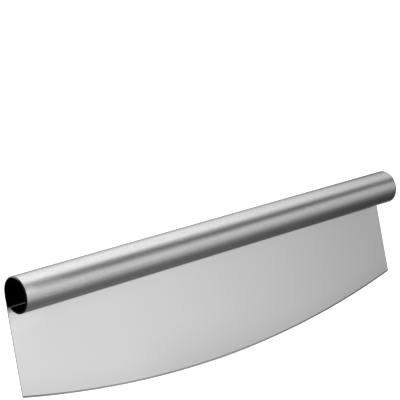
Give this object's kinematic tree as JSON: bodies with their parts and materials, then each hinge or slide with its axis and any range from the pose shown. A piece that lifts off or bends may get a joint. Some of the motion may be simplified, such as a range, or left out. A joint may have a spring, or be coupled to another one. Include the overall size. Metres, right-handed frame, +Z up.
{
  "type": "rocking pizza knife",
  "caption": "Long rocking knife: a flat steel blade with a curved cutting edge, joined along its top to an open rolled tube that both hands grip.",
  "frame": {"origin": "middle of the handle tube's axis", "axes": "+X along the handle, +Y towards the blade's back face, +Z up with the cutting edge down"},
  "size_m": [0.3584, 0.0254, 0.1022],
  "materials": {
    "blade_steel": "satin ground sheet with a ground cutting edge",
    "handle_steel": "satin rolled sheet, brushed along the tube",
    "weld_steel": "weld dressed flush and brushed along the seam"
  },
  "bodies": {
    "root": {"blade": "blade_steel", "handle_tube": "handle_steel", "back_weld": "weld_steel"}
  },
  "joints": []
}
